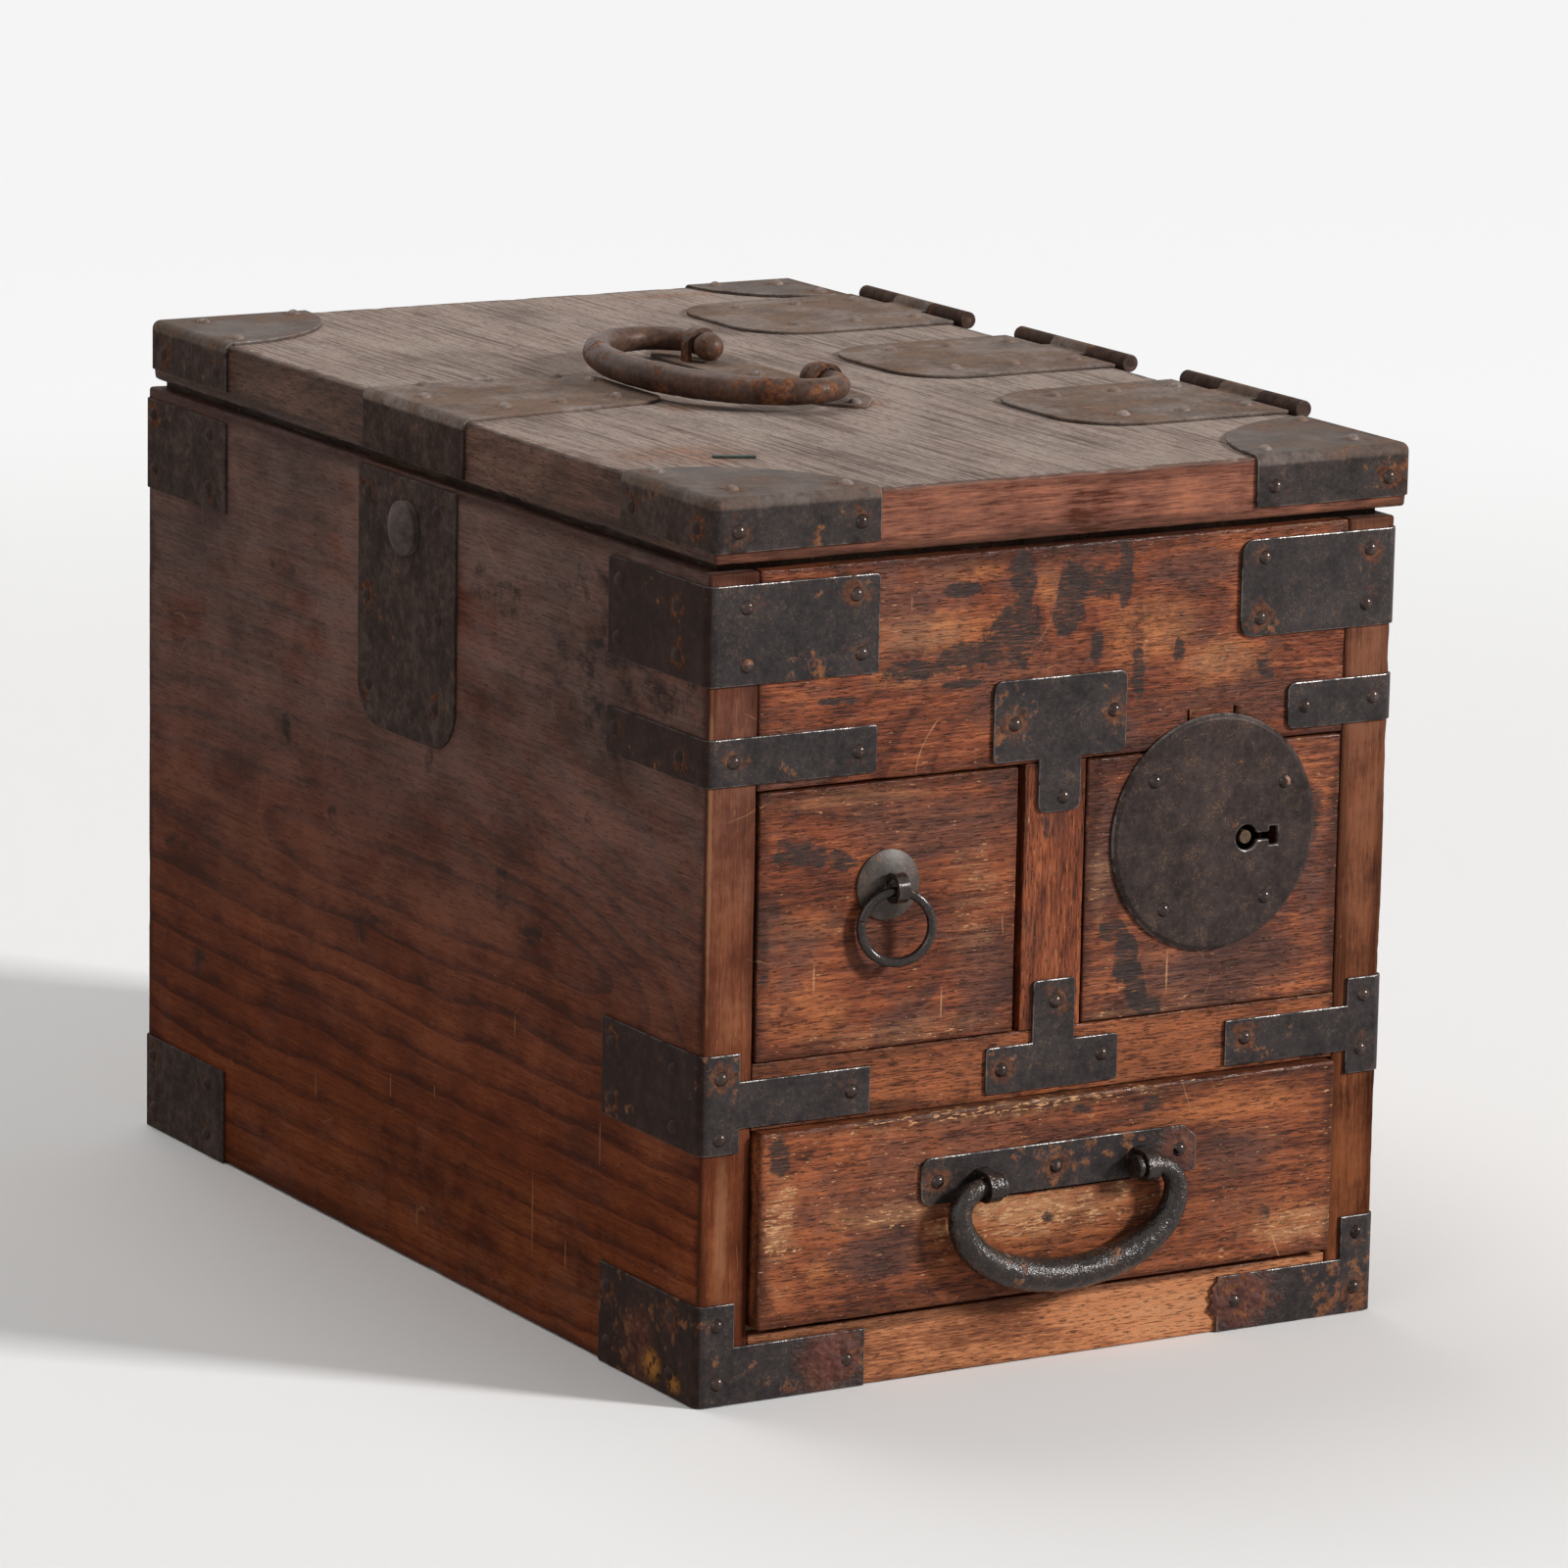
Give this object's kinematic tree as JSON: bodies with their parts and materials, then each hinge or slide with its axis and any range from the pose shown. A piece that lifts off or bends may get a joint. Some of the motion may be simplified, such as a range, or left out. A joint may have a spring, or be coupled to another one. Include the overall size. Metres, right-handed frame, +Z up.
{
  "type": "ship chest",
  "caption": "Iron-mounted wooden ship chest with a hinged lid over a tray, small drawers with a ring pull and a lock, a wide drawer below and a folding lid handle.",
  "frame": {"origin": "centre of the case's underside, in the plane the chest stands on", "axes": "+X to the right seen from the drawers' side, towards the lid's hinges; +Y from the drawers to the back; +Z up"},
  "size_m": [0.29, 0.4408, 0.3193],
  "materials": {
    "side_wood": "worn dark lacquer",
    "front_wood": "worn red-brown lacquer",
    "lid_wood": "bare and dusty, strong grain",
    "inner_wood": "bare",
    "plate_iron": "blackened sheet iron with rust",
    "lock_iron": "blackened, worn smooth",
    "handle_iron": "forged, rubbed, rust in the hollows",
    "nail_iron": "forged dome heads"
  },
  "bodies": {
    "cabinet": {"left_side_board": "side_wood", "right_side_board": "side_wood", "back_board": "side_wood", "bottom_front_rail": "front_wood", "middle_front_rail": "front_wood", "top_front_rail": "front_wood", "front_divider": "front_wood", "drawer_partition": "inner_wood", "bottom_board": "inner_wood", "drawer_shelf": "inner_wood", "tray_floor": "inner_wood", "bolt_socket": "front_wood", "drawer_runners": "inner_wood", "rim_strips": "side_wood", "front_corner_plates": "plate_iron", "front_bands": "plate_iron", "waist_brackets": "plate_iron", "front_foot_plates": "plate_iron", "t_plates": "plate_iron", "back_corner_plates": "plate_iron", "latch_plate": "plate_iron", "hinge_case_leaves": "plate_iron", "hinge_pins": "nail_iron", "case_nails": "nail_iron"},
    "lid": {"lid_board": "lid_wood", "lid_battens": "lid_wood", "lid_corner_plates": "plate_iron", "lid_band": "plate_iron", "hinge_straps": "plate_iron", "lid_handle_plate": "plate_iron", "lid_staples": "handle_iron", "lid_nails": "nail_iron", "lid_clip": "plate_iron", "latch_keeper": "plate_iron"},
    "lid_handle": {"lid_bail": "handle_iron"},
    "ring_drawer": {"ring_drawer_front": "front_wood", "ring_drawer_sides": "inner_wood", "ring_drawer_back": "inner_wood", "ring_drawer_bottom": "inner_wood", "ring_rosette": "handle_iron", "ring_eye": "handle_iron"},
    "ring_pull": {"pull_ring": "handle_iron"},
    "lock_drawer": {"lock_drawer_front": "front_wood", "lock_drawer_sides": "inner_wood", "lock_drawer_back": "inner_wood", "lock_drawer_bottom": "inner_wood", "lock_plate": "lock_iron", "lock_case": "plate_iron", "lock_nails": "nail_iron"},
    "lock_bolt_slide": {"lock_bolt": "plate_iron"},
    "wide_drawer": {"wide_drawer_front": "front_wood", "wide_drawer_sides": "inner_wood", "wide_drawer_back": "inner_wood", "wide_drawer_bottom": "inner_wood", "drawer_handle_plate": "plate_iron", "drawer_staples": "handle_iron", "drawer_handle_nails": "nail_iron"},
    "drawer_handle": {"drawer_bail": "handle_iron"},
    "lid_latch": {"latch_knob": "handle_iron", "latch_cam": "plate_iron"}
  },
  "joints": [
    {"name": "lid_hinge", "type": "hinge", "parent": "cabinet", "child": "lid", "pos_m": [0.145, 0, 0.307], "axis": [0, 1, 0], "range_deg": [0, 255]},
    {"name": "lid_handle_fold", "type": "hinge", "parent": "lid", "child": "lid_handle", "pos_m": [0.004, -0.002, 0.3132], "axis": [0, 1, 0], "range_deg": [0, 180]},
    {"name": "ring_drawer_slide", "type": "slide", "parent": "cabinet", "child": "ring_drawer", "axis": [0, -1, 0], "range_m": [0, 0.3]},
    {"name": "ring_swing", "type": "hinge", "parent": "ring_drawer", "child": "ring_pull", "pos_m": [-0.0655, -0.2169, 0.1723], "axis": [-1, 0, 0], "range_deg": [0, 180]},
    {"name": "lock_drawer_slide", "type": "slide", "parent": "cabinet", "child": "lock_drawer", "axis": [0, -1, 0], "range_m": [0, 0.3]},
    {"name": "lock_bolt_throw", "type": "slide", "parent": "lock_drawer", "child": "lock_bolt_slide", "axis": [0, 0, 1], "range_m": [0, 0.009]},
    {"name": "wide_drawer_slide", "type": "slide", "parent": "cabinet", "child": "wide_drawer", "axis": [0, -1, 0], "range_m": [0, 0.3]},
    {"name": "drawer_handle_swing", "type": "hinge", "parent": "wide_drawer", "child": "drawer_handle", "pos_m": [0.0023, -0.2217, 0.0665], "axis": [-1, 0, 0], "range_deg": [0, 180]},
    {"name": "latch_turn", "type": "hinge", "parent": "cabinet", "child": "lid_latch", "pos_m": [-0.135, 0, 0.2633], "axis": [1, 0, 0], "range_deg": [0, 90]}
  ]
}
